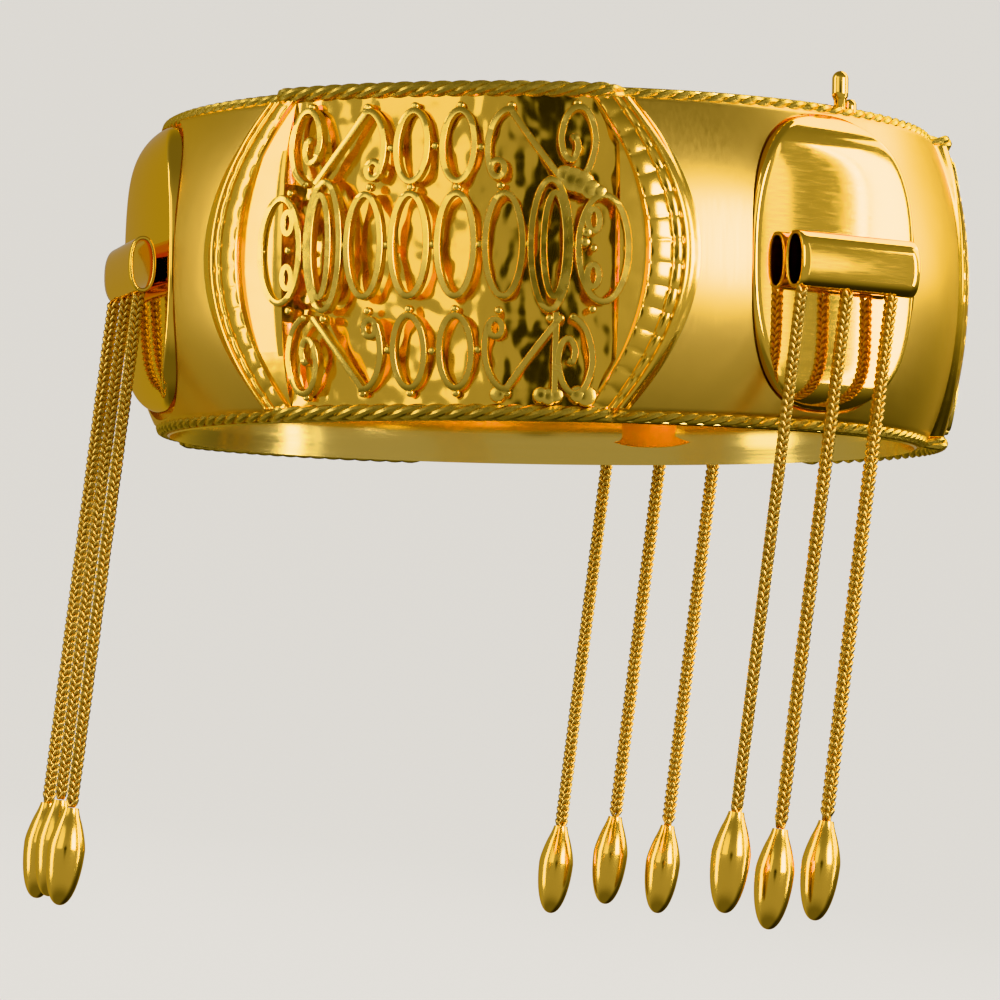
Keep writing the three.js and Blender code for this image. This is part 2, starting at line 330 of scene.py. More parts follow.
def start_material(name, settings):
    """A material of one shader, and the place on the object for its patterns."""
    material = bpy.data.materials.new(name)
    material.use_nodes = True
    tree = material.node_tree
    tree.nodes.clear()
    shader = add(tree, "ShaderNodeBsdfPrincipled", settings)
    add(tree, "ShaderNodeOutputMaterial", Surface=shader.outputs[0])
    return material, tree, shader, add(tree, "ShaderNodeTexCoord").outputs["Object"]


def start_gold(name, colour_value, roughness, **settings):
    """Plain gold: a bare metal has no coat, full metallic and the default IOR. Seen edge on it
    stays yellow, rather than turning white."""
    return start_material(name, {
        "Base Color": (*colour_value, 1), "Metallic": 1.0, "Roughness": roughness,
        "Specular Tint": (*sizes("finish").edge, 1), **settings,
    })


def grain(tree, place, stretch, scale_mm, detail=2.0):
    """Noise whose grain is scale_mm across, drawn out along an axis by a stretch of more than 1."""
    scale = tuple(1 / (scale_mm * MM * s) for s in stretch)
    spread = add(tree, "ShaderNodeMapping", {"Scale": scale}, Vector=place).outputs[0]
    settings = {"Scale": 1.0, "Detail": detail}
    return add(tree, "ShaderNodeTexNoise", settings, Vector=spread).outputs["Fac"]


def ramp(tree, value, start, end, low, high, step="SMOOTHSTEP"):
    """Takes a value from low at start to high at end, softly unless another step is named."""
    settings = {"interpolation_type": step, "From Min": start, "From Max": end,
                "To Min": low, "To Max": high}
    return add(tree, "ShaderNodeMapRange", settings, Value=value).outputs[0]


def vary_gloss(tree, shader, pattern, low, high):
    """Spreads noise's usual 0.3 to 0.7 over a range of roughness."""
    value = ramp(tree, pattern, 0.3, 0.7, low, high, "LINEAR")
    tree.links.new(value, shader.inputs["Roughness"])


def dent(tree, shader, height, depth_mm, strength):
    """Bumps the shader's normal by a height of so many millimetres."""
    settings = {"Strength": strength, "Distance": depth_mm * MM}
    bump = add(tree, "ShaderNodeBump", settings, Height=height)
    tree.links.new(bump.outputs[0], shader.inputs["Normal"])


def worked_gold(name, colour_value, roughness, pattern, gloss, dents):
    """A gold on which one noise, of a stretch, a scale and a detail, varies the roughness over a
    range and dents the surface by a depth and a strength."""
    material, tree, shader, place = start_gold(name, colour_value, roughness)
    marks = grain(tree, place, *pattern)
    vary_gloss(tree, shader, marks, *gloss)
    dent(tree, shader, marks, *dents)
    return material


def satin_gold(finish):
    # 22 carat gold, brushed up and down with a fibre wheel. The streaks are about 0.05 mm apart on
    # the real one and 0.2 mm here so that they show. Light smears sideways across them, and broad
    # faint clouds show where the wheel pressed.
    material, tree, shader, place = start_gold(
        "yellow_gold_brushed", finish.satin, 0.34, Anisotropic=0.45
    )
    streaks = grain(tree, place, (1, 1, 30), 0.2, 1.0)
    cloud = grain(tree, place, (1, 1, 1.6), 5.0)
    cloud = add(tree, "ShaderNodeMath", {"operation": "MULTIPLY", 1: 0.25}, _0=cloud).outputs[0]
    settings = {"operation": "MULTIPLY_ADD", 1: 0.75}
    both = add(tree, "ShaderNodeMath", settings, _0=streaks, _2=cloud).outputs[0]
    vary_gloss(tree, shader, both, 0.28, 0.34)
    around = add(tree, "ShaderNodeTangent", {"direction_type": "RADIAL", "axis": "Z"})
    tree.links.new(around.outputs[0], shader.inputs["Tangent"])
    return material


def polished_gold(finish):
    # Sheet gold, pressed and buffed on a mop: a mirror, with the slight waviness of thin sheet and
    # a few buffing hairlines that only show in the highlights. The real hairlines are finer than
    # the 0.12 mm that shows.
    material, tree, shader, place = start_gold("yellow_gold_buffed", finish.gold, 0.06)
    waves = grain(tree, place, (1, 1, 1.8), 4.5, 1.0)
    vary_gloss(tree, shader, grain(tree, place, (14, 14, 1), 0.12), 0.045, 0.095)
    dent(tree, shader, waves, 0.03, 0.35)
    return material


def filed_gold(finish):
    # Openwork cut from flat strip and filed level: its tops are matt and tan, since the file's fine
    # scratches spread the light, and its edges are crisp. The scratches are too fine to show, so
    # only the unevenness between patches of them is drawn, 0.9 mm across.
    return worked_gold(
        "yellow_gold_filed", finish.filed, 0.3,
        pattern=((1, 1, 1), 0.9, 1.0), gloss=(0.18, 0.3), dents=(0.02, 0.12),
    )


def tumbled_gold(finish):
    # Beads pressed from thin sheet and fluted strip, tumbled in shot: nearly a mirror, but softened
    # all over by shallow cups, so that highlights have no hard edges.
    return worked_gold(
        "yellow_gold_tumbled", finish.gold, 0.17,
        pattern=((1, 1, 1), 1.6, 1.0), gloss=(0.14, 0.2), dents=(0.06, 0.5),
    )


def floor_gold(finish):
    # Thin sheet, buffed before the openwork was soldered over it: a mirror that the heat has
    # buckled into shallow dimples, which break what it mirrors into patches.
    material, tree, shader, place = start_gold("yellow_gold_buckled_mirror", finish.gold, 0.11)
    dent(tree, shader, grain(tree, place, (1, 1, 1.3), 2.0, 1.0), 0.26, 0.9)
    return material


def drawn_gold(finish):
    # Round wire, drawn, twisted and worn: the strands' skin is dull, so the rope looks olive where
    # it faces away from the lights. Its wear marks are drawn 0.22 mm across, coarser than real.
    return worked_gold(
        "yellow_gold_drawn", finish.wire, 0.3,
        pattern=((1, 1, 1), 0.22), gloss=(0.24, 0.4), dents=(0.01, 0.5),
    )


def chain_gold(finish):
    # Fine soldered links, pickled and tumbled: warmer between the links where light bounces twice.
    return worked_gold(
        "yellow_gold_linked", finish.chain, 0.36,
        pattern=((1, 1, 1), 0.35), gloss=(0.3, 0.42), dents=(0.01, 0.3),
    )


def lining_gold(finish):
    # The inside, turned and burnished: faint rings round the wrist over a nearly mirror finish,
    # 0.3 mm apart, coarser than the tool's real marks.
    return worked_gold(
        "yellow_gold_burnished", finish.lining, 0.15,
        pattern=((60, 60, 1), 0.3), gloss=(0.12, 0.2), dents=(0.01, 0.35),
    )


def finish_of(make):
    """The finish that a function above makes, made the first time it is asked for."""
    scene = bpy.context.scene
    if make.__name__ not in scene:
        scene[make.__name__] = make(sizes("finish")).name
    return bpy.data.materials[scene[make.__name__]]


# ---- the band ----
def barrel_radius(height):
    band = sizes("band")
    radius, bow = band.barrel / MM, band.bow / MM
    return radius - bow + sqrt(bow * bow - min(abs(height), bow) ** 2)


def half_window(part, height):
    """Half width of a window at a height, to its collars' foot or crest: round like a bracket."""
    window = sizes("window")
    middle, corner = getattr(window, part), getattr(window, part + "_corner")
    return middle - (middle - corner) * (height / (window.reach / MM)) ** 2


def wall_ring(arc, front, back, height):
    """One level of a curved wall: along its front and back along its rear."""
    face = [on_band(azimuth, front, height) for azimuth in arc]
    return face + [on_band(azimuth, back, height) for azimuth in reversed(arc)]


class BANGLE_OT_band(bpy.types.Operator):
    """Makes the satin barrel in three stretches between the windows, and the lining inside it"""

    bl_idname = "bangle.band"
    bl_label = "Band"

    # The gap round each oval plate in its pocket, in millimetres: the left one sits loosest.
    CLEARANCE = (0.12, 0.12, 0.5)
    POCKET = (29.7, 36.0)  # how near and how far the pockets reach from the band's axis
    UNDER_COLLAR = radians(2.0)  # how far the barrel goes in under a collar's foot

    def execute(self, context):
        band = sizes("band")
        top, inner = band.half_height / MM, band.wrist / MM
        outer = inner + band.lining / MM
        edge = 12.24  # the lining's rim stands this high, and hides the rope from inside
        flare = 0.42  # it opens out by this much over its last two millimetres
        lip = inner + 0.6
        section = [(inner + flare, -edge), (inner + flare * 0.5, 1.1 - edge)]
        section += [(inner, (edge - 2.1) * k / 10) for k in range(-10, 11)]
        section += [(inner + flare * 0.5, edge - 1.1), (inner + flare, edge)]
        section += [(lip, edge - 0.1), (lip, top - 0.2), (outer, top - 0.5)]
        section += [(outer, 0.5 - top), (lip, 0.2 - top), (lip, 0.1 - edge)]
        steps = 240
        rings = [[on_band(tau * i / steps, r, z) for r, z in section] for i in range(steps)]
        lining = Stock().loft(rings, closed=True)
        make_piece("lining", lining, lining_gold, "band")
        for i in range(3):
            self.stretch(i, top, outer)
        return {"FINISHED"}

    def stretch(self, i, top, outer):
        """One stretch of barrel, reaching a little way under the collars at its two ends, with the
        pocket that its oval plate sits in."""
        left, right = WINDOWS[i], WINDOWS[(i + 1) % 3]
        span = (right - left) % tau
        steps, levels = 96, 28
        rim, roll = 0.25, 0.16  # the last stretch below the rim is rolled in by this much
        rings = []
        for k in range(-levels, levels + 1):
            height = top * sin(pi / 2 * k / levels)
            tuck = half_window("foot", height) - self.UNDER_COLLAR
            radius = barrel_radius(height) - roll * smooth((abs(height) - top + rim) / rim)
            arc = [left + lerp(tuck, span - tuck, j / steps) for j in range(steps + 1)]
            rings.append(wall_ring(arc, radius, outer - 0.2, height))
        name = f"barrel_{i + 1}"
        piece = make_piece(name, Stock().loft(rings), satin_gold, "band")
        plate, gap = sizes("plate"), self.CLEARANCE[i]
        wide, tall = plate.half_width / MM + gap, plate.half_height / MM + gap
        outline = superellipse(wide, tall, PLATE_SQUARENESS, PLATE_POINTS)
        cut_away(piece, Stock().loft([
            turn_to(PLATES[i], [Vector((x, -distance, plate.rise / MM + z)) for x, z in outline])
            for distance in self.POCKET
        ]))


class BANGLE_OT_rope(bpy.types.Operator):
    """Lays the twisted rope edging along both rims, stepping out round each window"""

    bl_idname = "bangle.rope"
    bl_label = "Rope edging"

    TUCKED, OUT = 29.5, 31.05  # radius of the rope's middle over the barrel and along a window
    LOWERED = 0.988  # share of its height that it has where it is tucked
    OUT_BY, STEP = radians(26.2), radians(3.0)  # it steps out over this much, from there inwards
    POINTS = 15  # points along one turn of a strand

    def execute(self, context):
        band = sizes("band")
        rim = band.rope_height / MM
        for name, height in (("rope_wire_top", rim), ("rope_wire_bottom", -rim)):
            twisted = self.twist(band, height)
            make_piece(name + "_twisted", twisted, drawn_gold, name)
        return {"FINISHED"}

    def path_at(self, azimuth, height):
        """The rope lies tucked behind the barrel's rim and steps out to pass along a window."""
        nearest = min(abs(away(azimuth, centre)) for centre in WINDOWS)
        out = smooth((self.OUT_BY - nearest) / self.STEP)
        return lerp(self.TUCKED, self.OUT, out), height * lerp(self.LOWERED, 1.0, out)

    def twist(self, band, height):
        middle = (self.TUCKED + self.OUT) / 2
        strand, turns = band.strand / MM, round(tau * middle / (band.lay / MM))
        count = turns * self.POINTS
        stock = Stock()
        for s in range(band.strands):
            path = []
            for i in range(count):
                azimuth = tau * i / count
                turn = tau * (turns * i / count + s / band.strands)
                offset = strand * 0.92  # the strands press into each other a little
                radius, level = self.path_at(azimuth, height)
                radius, level = radius + offset * cos(turn), level + offset * sin(turn)
                path.append(on_band(azimuth, radius, level))
            stock.wire(path, strand, 8, lambda i: Vector((0, 0, 1)))
        return stock


class BANGLE_OT_windows(bpy.types.Operator):
    """Makes each window's mirror floor and its two fluted collars"""

    bl_idname = "bangle.windows"
    bl_label = "Window floors and collars"

    def execute(self, context):
        for i, centre in enumerate(WINDOWS):
            floor = self.floor(centre)
            make_piece(f"window_floor_{i + 1}", floor, floor_gold, "band")
            for side, word in ((-1, "left"), (1, "right")):
                name = f"collar_{i + 1}_{word}"
                collar = self.collar(centre, side)
                make_piece(name + "_fluted", collar, tumbled_gold, name, crease=50)
        return {"FINISHED"}

    @staticmethod
    def floor(centre):
        window, band = sizes("window"), sizes("band")
        radius, top, inner = window.floor / MM, band.rope_height / MM, band.wrist / MM
        rings = []
        # the floor goes in a little under the shelves and the crests
        left, right = -window.shelf_left - radians(1), window.shelf_right + radians(1)
        levels, steps = 12, 72
        for k in range(-levels, levels + 1):
            height = top * k / levels
            half = half_window("crest", height) + radians(0.6)
            ends = max(left, -half), min(right, half)
            arc = [centre + lerp(*ends, j / steps) for j in range(steps + 1)]
            rings.append(wall_ring(arc, radius, inner + 0.5, height))
        return Stock().loft(rings)

    # A collar's section, from outer foot to inner wall: the share of the way from foot to crest,
    # how far it stands above the crest's radius, and how much the flutes cut it.
    SECTION = (
        (0.03, -0.11, 0.0), (0.08, -0.07, 0.0), (0.13, -0.10, 0.0), (0.155, -0.25, 0.0),
        (0.175, -0.20, 1.0), (0.21, -0.13, 1.0), (0.27, -0.10, 1.0), (0.33, -0.12, 1.0),
        (0.365, -0.18, 1.0), (0.385, -0.20, 0.0), (0.40, -0.08, 0.0), (0.425, -0.08, 0.0),
        (0.44, -0.18, 0.0), (0.46, -0.12, 1.0), (0.52, -0.07, 1.0), (0.62, -0.03, 1.0),
        (0.74, 0.0, 1.0), (0.86, 0.0, 1.0), (0.93, -0.03, 1.0), (0.955, -0.06, 0.4),
        (0.975, 0.0, 0.0), (0.995, 0.0, 0.0), (1.005, -0.05, 0.0),
    )

    TIP = 11.3  # height of a collar's tips
    TIP_RADIUS = 31.45  # radius of its crest there
    BACK = 29.6  # radius of its back
    MEAN = 32.5  # mean radius of its face, which the flutes are set out on

    def collar(self, centre, side):
        window = sizes("window")
        steps = 340
        reach = window.reach / MM
        bow = (window.crest - window.crest_corner) * self.MEAN / reach**2
        rings = []
        for k in range(steps + 1):
            height = self.TIP * (2 * k / steps - 1)
            foot, crest = half_window("foot", height), half_window("crest", height)
            top = lerp(window.crest_radius / MM, self.TIP_RADIUS, min((height / reach) ** 2, 1.08))
            barrel = barrel_radius(height)
            slope = -2 * bow * height
            ring = []

            def put(across, radius):
                ring.append(on_band(centre + side * lerp(foot, crest, across), radius, height))

            # its foot is filleted onto the barrel
            lip = max(barrel, top - 0.16)
            put(-0.3, barrel - 0.5)
            put(-0.3, barrel - 0.02)
            for share in (0.2, 0.4, 0.6, 0.8, 1.0):
                put(-0.28 * (1 - share), lerp(barrel, lip, smooth(share)))
            for across, above, fluted in self.SECTION:
                # the flutes stand square to the crest, so they fan round the window
                behind = (foot - crest) * self.MEAN * (1 - across)
                at = height + behind * slope / (1 + slope * slope)
                run = at * (1 + (2 * bow * at) ** 2 / 6)
                cut = 1 - abs(cos(pi * run / (window.flute / MM))) ** 0.6
                level = top + above - cut * fluted * window.flute_depth / MM
                put(across, max(level, barrel + 0.06) if across < 0.16 else level)
            # inside the crest a smooth shelf runs to a straight end, and drops to the floor there
            end = window.shelf_left if side < 0 else window.shelf_right
            end = max((end - foot) / (crest - foot), 1.08)
            shelf = min(window.shelf / MM - height * height / 120, top - 0.25)
            put(1.02, lerp(top, shelf, 0.8))
            put(1.035, shelf)
            for share in (0.25, 0.5, 0.75, 0.97):
                put(lerp(1.035, end, share), shelf)
            put(end, shelf - 0.08)
            put(end, self.BACK)
            put(0.0, self.BACK)
            rings.append(ring)
        return Stock().loft(rings)


# ---- the openwork ----
PANEL = 32.9  # radius at which the openwork is set out as if flat, in millimetres
ON_SHELF = 0.31  # depth of the openwork's ends below their faces: they lie on the collars' shelves


def oval(azimuth, height, half_width, half_height, count=36):
    """A closed oval on the flat panel: azimuth in degrees, the rest in millimetres."""
    at = radians(azimuth) * PANEL
    turns = [tau * i / count for i in range(count)]
    return [Vector((at + half_width * cos(t), height + half_height * sin(t))) for t in turns]


def scroll(points, steps=6):
    """A smooth curve through (azimuth in degrees, height in millimetres) points on the panel, with
    so many steps between neighbours."""
    laid = [Vector((radians(a) * PANEL, z)) for a, z in points]
    ends = [laid[0], *laid, laid[-1]]
    curve = []
    for a, b, c, d in zip(ends, ends[1:], ends[2:], ends[3:]):
        for t in (step / steps for step in range(steps)):
            bend = (2 * a - 5 * b + 4 * c - d) * t * t + (3 * b - a - 3 * c + d) * t**3
            curve.append(0.5 * (2 * b + (c - a) * t + bend))
    return [*curve, laid[-1]]


def face_at(height):
    """Radius of the openwork's outer face: it bows in a little towards the rims."""
    return sizes("window").tracery / MM - height * height / 120


def tracery():
    """The openwork's right half as (points, closed) ribbons, and its solder drops."""
    ribbons = [(oval(*stated), True) for stated in (
        (3.07, 0.25, 1.36, 3.72), (9.25, 0.25, 1.36, 3.72), (15.15, 0.3, 1.42, 4.7),
        (15.7, 0.3, 0.82, 3.75), (21.85, 0.1, 1.82, 3.85),
        (20.55, 2.1, 0.42, 0.8, 20), (20.55, -1.9, 0.42, 0.8, 20),
    )]
    drops = [(6.15, 0.25), (12.3, 0.3), (0.0, 0.25), (18.3, 0.3), (20.6, 0.1), (24.9, 0.1)]
    for up in (1, -1):
        ribbons.append((oval(3.1, up * 7.45, 1.2, 2.6), True))
        ribbons.append((oval(8.3, up * 5.75, 0.5, 0.62, 20), True))
        for points in (
            ((7.45, 5.5), (7.0, 6.6), (7.0, 7.9), (7.7, 9.2), (8.9, 10.0), (10.2, 10.1)),
            ((9.4, 10.35), (12.9, 7.6), (16.6, 4.9)),
            ((18.3, 4.9), (19.9, 5.9), (20.75, 8.0), (19.9, 9.9), (18.4, 10.35), (17.0, 9.6),
             (16.35, 8.0), (16.9, 6.7), (17.9, 6.5), (18.5, 7.3), (18.2, 8.1), (17.6, 8.0)),
        ):
            ribbons.append((scroll([(a, up * z) for a, z in points]), False))
        drops += [(a, up * z) for a, z in (
            (3.05, 4.4), (8.7, 4.5), (0.0, 7.4), (6.0, 7.3), (16.6, 5.0), (18.2, 4.9),
            (3.1, 10.4), (9.8, 10.4), (18.4, 10.6), (15.2, 5.0), (20.6, 4.3),
        )]
    return ribbons, drops


class BANGLE_OT_openwork(bpy.types.Operator):
    """Makes the three openwork panels from flat-faced ribbons, scrolls and solder drops"""

    bl_idname = "bangle.openwork"
    bl_label = "Openwork panels"

    # The heavier runs of solder: azimuth in degrees, height and radius in millimetres.
    SOLDER = (
        (16.9, 5.3, 0.8), (17.9, 5.0, 1.0), (19.0, 4.8, 0.95), (20.1, 4.3, 0.8), (21.2, 4.1, 0.6),
        (19.7, 1.2, 0.4), (19.5, 0.5, 0.38), (14.2, -10.5, 0.6), (15.2, -10.6, 0.65),
        (16.2, -10.5, 0.55), (19.0, -10.4, 0.65), (20.1, -10.5, 0.8), (8.6, -10.5, 0.6),
    )
    LIFT = 0.1  # the heavier runs stand this much higher
    DROP = 0.3  # radius of the small drops
    OFF_CENTRE = radians(0.75)  # how far right of a window's middle the tracery's own middle is
    EDGE = 11.0  # the tracery is kept below this height

    def execute(self, context):
        ribbons, drops = tracery()
        for i, centre in enumerate(WINDOWS):
            middle = centre + self.OFF_CENTRE
            stock = Stock()
            for points, closed in ribbons:
                for side in (-1, 1):
                    self.ribbon(stock, middle, side, points, closed)
            post = scroll([(16.0, -4.6), (16.0, -10.5)])
            self.ribbon(stock, middle, 1, post, False)
            for at, height in drops:
                for side in (-1, 1) if at else (1,):
                    self.drop(stock, middle, side * at, height, self.DROP)
            for at, height, radius in self.SOLDER:
                self.drop(stock, middle, at, height, radius, self.LIFT)
            name = f"openwork_panel_{i + 1}"
            make_piece(name + "_tracery", stock, filed_gold, name, crease=42)
        return {"FINISHED"}

    def ribbon(self, stock, middle, side, points, closed):
        """A flat-faced ribbon with softened edges, bent round the panel's cylinder."""
        window = sizes("window")
        half, deep = window.ribbon / MM / 2, window.ribbon_depth / MM
        if max(point.x for point in points) > radians(22) * PANEL:
            deep = ON_SHELF
        edge = [(half * 0.8, 0.0), (half * 0.93, 0.03), (half, 0.09), (half, deep)]
        section = [(-sideways, below) for sideways, below in reversed(edge)] + edge
        count = len(points)
        rings = []
        for i, point in enumerate(points):
            before = points[i - 1] if closed or i else point
            after = points[(i + 1) % count] if closed or i < count - 1 else point
            along = (after - before).normalized()
            across = Vector((-along.y, along.x))
            ring = []
            for sideways, below in section:
                spot = point + across * sideways
                level = min(max(spot.y, -self.EDGE), self.EDGE)
                azimuth = middle + side * spot.x / PANEL
                ring.append(on_band(azimuth, face_at(level) - below, level))
            rings.append(ring)
        stock.loft(rings, closed)

    @staticmethod
    def drop(stock, middle, at, height, wide, lift=0.0):
        """A low run of solder where ribbons meet, nearly level with their tops. A heavy run is
        lifted a little so that it lies over them."""
        face, azimuth = face_at(height), middle + radians(at)
        base = ON_SHELF if abs(at) > 20.9 else 0.7
        rings = []
        for share, below in ((1.0, base), (1.0, 0.24), (0.88, 0.14), (0.65, 0.09), (0.3, 0.07)):
            radius, level = wide * share, face - below + (lift if share < 1 else 0)
            rings.append([
                on_band(azimuth + radius * cos(t) / face, level, height + radius * sin(t))
                for t in (tau * j / 12 for j in range(12))
            ])
        stock.loft(rings)


# ---- plates, bars and pin ----
class BANGLE_OT_plates(bpy.types.Operator):
    """Makes the three oval plates, rolled at top and bottom and softly crowned across"""

    bl_idname = "bangle.plates"
    bl_label = "Oval plates"

    def execute(self, context):
        plate = sizes("plate")
        for i, azimuth in enumerate(PLATES):
            name, shape = f"oval_plate_{i + 1}", self.shape(plate, azimuth)
            make_piece(name + "_mirror", shape, polished_gold, name, crease=60)
        return {"FINISHED"}

    @staticmethod
    def shape(plate, azimuth):
        wide, tall, rise = (v / MM for v in (plate.half_width, plate.half_height, plate.rise))
        outline = superellipse(1, 1, PLATE_SQUARENESS, PLATE_POINTS)

        def distance(x, z):
            roll = plate.roll / MM * abs(z / tall) ** 7
            return plate.face / MM - roll - x * x / (2 * plate.crown / MM)

        # share of the outline, and how far below the face: the last ones are the rounded rim
        steps = [(0.004, 0.0)] + [(k / 26, 0.0) for k in range(1, 26)]
        steps += [(0.975, 0.01), (0.985, 0.05), (0.993, 0.13), (0.998, 0.25), (1.0, 0.4), (1.0, 2.4)]
        rings = []
        for share, below in steps:
            ring = []
            for x, z in outline:
                x, z = x * wide * share, z * tall * share
                ring.append(Vector((x, -(distance(x, z) - below), rise + z)))
            rings.append(turn_to(azimuth, ring))
        return Stock().loft(rings)


class BANGLE_OT_bars(bpy.types.Operator):
    """Makes the flattened open tubes that the chains hang from"""

    bl_idname = "bangle.bars"
    bl_label = "Bars"

    def execute(self, context):
        plate = sizes("plate")
        for i, azimuth in enumerate(PLATES):
            name, tube = f"bar_{i + 1}", self.tube(plate, azimuth)
            make_piece(name + "_tube", tube, polished_gold, name, crease=60)
        return {"FINISHED"}

    @staticmethod
    def tube(plate, azimuth):
        """The tube's wall as one closed skin: along the outside, round the end and back inside."""
        half, rise = plate.bar_half / MM, plate.bar_rise / MM
        deep, wall = plate.bar_depth / MM, plate.bar_wall / MM
        lip = 0.1  # how far its ends are rounded
        middle = Vector((plate.bar_shift / MM, -(plate.face / MM + deep + 0.1), 0))
        stations = [(-half, wall / 2), (-half + 0.02, lip * 0.3), (-half + lip, 0.0)]
        stations += [(lerp(-half, half, k / 16), 0.0) for k in range(1, 16)]
        stations += [(half - lip, 0.0), (half - 0.02, lip * 0.3), (half, wall / 2)]
        stations += [(half - 0.02, wall - lip * 0.3), (half - lip, wall)]
        stations += [(lerp(half, -half, k / 8), wall) for k in range(1, 8)]
        stations += [(lip - half, wall), (0.02 - half, wall - lip * 0.3)]
        rings = []
        for along, shrink in stations:
            section = superellipse(deep - shrink, rise - shrink, 2.3, 40)
            ring = turn_to(plate.bar_turn, [Vector((along, -d, h)) for d, h in section])
            rings.append(turn_to(azimuth, [middle + p for p in ring]))
        return Stock().loft(rings, closed=True)


class BANGLE_OT_pin(bpy.types.Operator):
    """Makes the clasp pin's head and the small knuckle beside it"""

    bl_idname = "bangle.pin"
    bl_label = "Clasp pin"

    def execute(self, context):
        rim, radius = 29.3, 0.6  # radius of the rim that it stands on, and of its head
        centre = on_band(radians(48.0), rim, 0)
        profile = [(0.45, 10.6), (0.45, 12.6), (0.5, 12.75), (radius, 12.95), (radius, 13.3)]
        profile += [
            (radius * cos(radians(a)), 14.22 + 0.62 * sin(radians(a))) for a in range(0, 90, 12)
        ]
        profile.append((0.02, 14.85))
        stock = Stock().lathe(profile, 28, centre)
        knuckle = [(0.5, 11.0), (0.52, 12.2), (0.5, 12.5), (0.38, 12.72), (0.18, 12.82)]
        stock.lathe([*knuckle, (0.02, 12.85)], 20, on_band(radians(50.3), rim, 0))
        make_piece("clasp_pin_head", stock, polished_gold, "clasp_pin")
        return {"FINISHED"}


# ---- tassels ----
def tassel_names(kind):
    return [f"{kind}_{i}_{j}" for i in (1, 2, 3) for j in (1, 2, 3)]


def hung(name):
    """The upright line that a node hangs on, and its lowest and highest levels, in millimetres."""
    low, high = (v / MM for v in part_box(name))
    return Vector(((low.x + high.x) / 2, (low.y + high.y) / 2, 0)), low.z, high.z


class BANGLE_OT_chains(bpy.types.Operator):
    """Weaves the nine foxtail chains from bent oval links"""

    bl_idname = "bangle.chains"
    bl_label = "Chains"

    def execute(self, context):
        tassel = sizes("tassel")
        for order, name in enumerate(tassel_names("chain")):
            middle, low, high = hung(name)
            links = self.weave(tassel, middle, low - 0.2, high + 0.6, order)
            make_piece(
                name + "_links", links, chain_gold, name, tilted=False, crease=80
            )
        return {"FINISHED"}

    @staticmethod
    def weave(tassel, middle, bottom, top, order):
        """Each link is an oval laid across the chain with both ends bent up, and each is turned a
        quarter from the one before."""
        pitch, reach = tassel.link_pitch / MM, tassel.link_reach / MM
        wire, points = tassel.link_wire / MM, 14
        stock = Stock()
        stretch, narrow = 0.62, 0.17  # how high a link's ends are bent up, and its half thickness
        count = int((top - bottom - stretch) / pitch)
        face = radians(45 + 13 * order)
        for k in range(count):
            # no two links lie quite alike, and no two chains face quite the same way
            turn = face + (k % 2) * pi / 2 + 0.05 * sin(k * 0.37 + order)
            along, across = Vector((cos(turn), sin(turn), 0)), Vector((-sin(turn), cos(turn), 0))
            base = middle + Vector((0, 0, top - stretch - pitch * k))
            path = []
            for i in range(points):
                u = tau * i / points
                lift = Vector((0, 0, stretch * abs(cos(u)) ** 1.6 - wire))
                path.append(base + along * reach * cos(u) + across * narrow * sin(u) + lift)
            centre = base + Vector((0, 0, stretch * 0.4))
            stock.wire(path, wire, 5, lambda i: (path[i] - centre).normalized())
        return stock


class BANGLE_OT_beads(bpy.types.Operator):
    """Turns the nine drop beads: a tapering cap, a belt and a rounded drop"""

    bl_idname = "bangle.beads"
    bl_label = "Drop beads"

    # share of the way down, and share of the radius
    PROFILE = (
        (0.0, 0.39), (0.02, 0.41), (0.06, 0.47), (0.1, 0.545), (0.15, 0.65), (0.2, 0.74),
        (0.25, 0.82), (0.3, 0.89), (0.345, 0.945), (0.385, 0.98), (0.415, 0.997), (0.43, 1.0),
    )

    def execute(self, context):
        radius = sizes("tassel").bead / MM
        for name in tassel_names("drop_bead"):
            centre, low, high = hung(name)
            top = high + 0.35  # its cap reaches up over the chain's end
            profile = [(radius * r, lerp(top, low, down)) for down, r in self.PROFILE]
            # below the belt it is half an ellipsoid, a little blunter than a true one
            belt = profile[-1][1]
            profile += [
                (radius * max(cos(radians(a)) ** 0.9, 0.01), lerp(belt, low, sin(radians(a))))
                for a in (*range(6, 90, 6), 87, 90)
            ]
            make_piece(
                name + "_turned", Stock().lathe(profile, 40, centre), tumbled_gold,
                name, tilted=False, crease=60,
            )
        return {"FINISHED"}


# ---- stage ----
# Soft lights as a direction seen from the bangle (azimuth and elevation in degrees), width and
# height in degrees, and brightness.
SOFTBOXES = (
    ("window_right", 48, 14, 26, 26, 12.0),
    ("strip_warm", 80.2, 10, 2.5, 44, 1.5),
    ("strip_glow", 87.0, 9, 1.2, 44, 0.7),
    ("strip_right", 88.2, 9, 0.95, 44, 14.0),
    ("strip_right_far", 91.2, 9, 4.1, 44, 9.0),
    ("window_far_right", 112, 24, 24, 30, 4.0),
    ("card_left", -81, 6, 20, 60, 3.6),
    ("overhead_back", 137, 46, 44, 34, 4.5),
    ("panel_front_left", -38, 14, 34, 30, 0.9),
)
LIGHT_REACH = 0.62  # metres from the bangle to the lights
ROOM_GLOW = 0.41  # brightness of the room at its horizon


def towards(azimuth, elevation):
    a, e = radians(azimuth), radians(elevation)
    return Vector((sin(a) * cos(e), -cos(a) * cos(e), sin(e)))


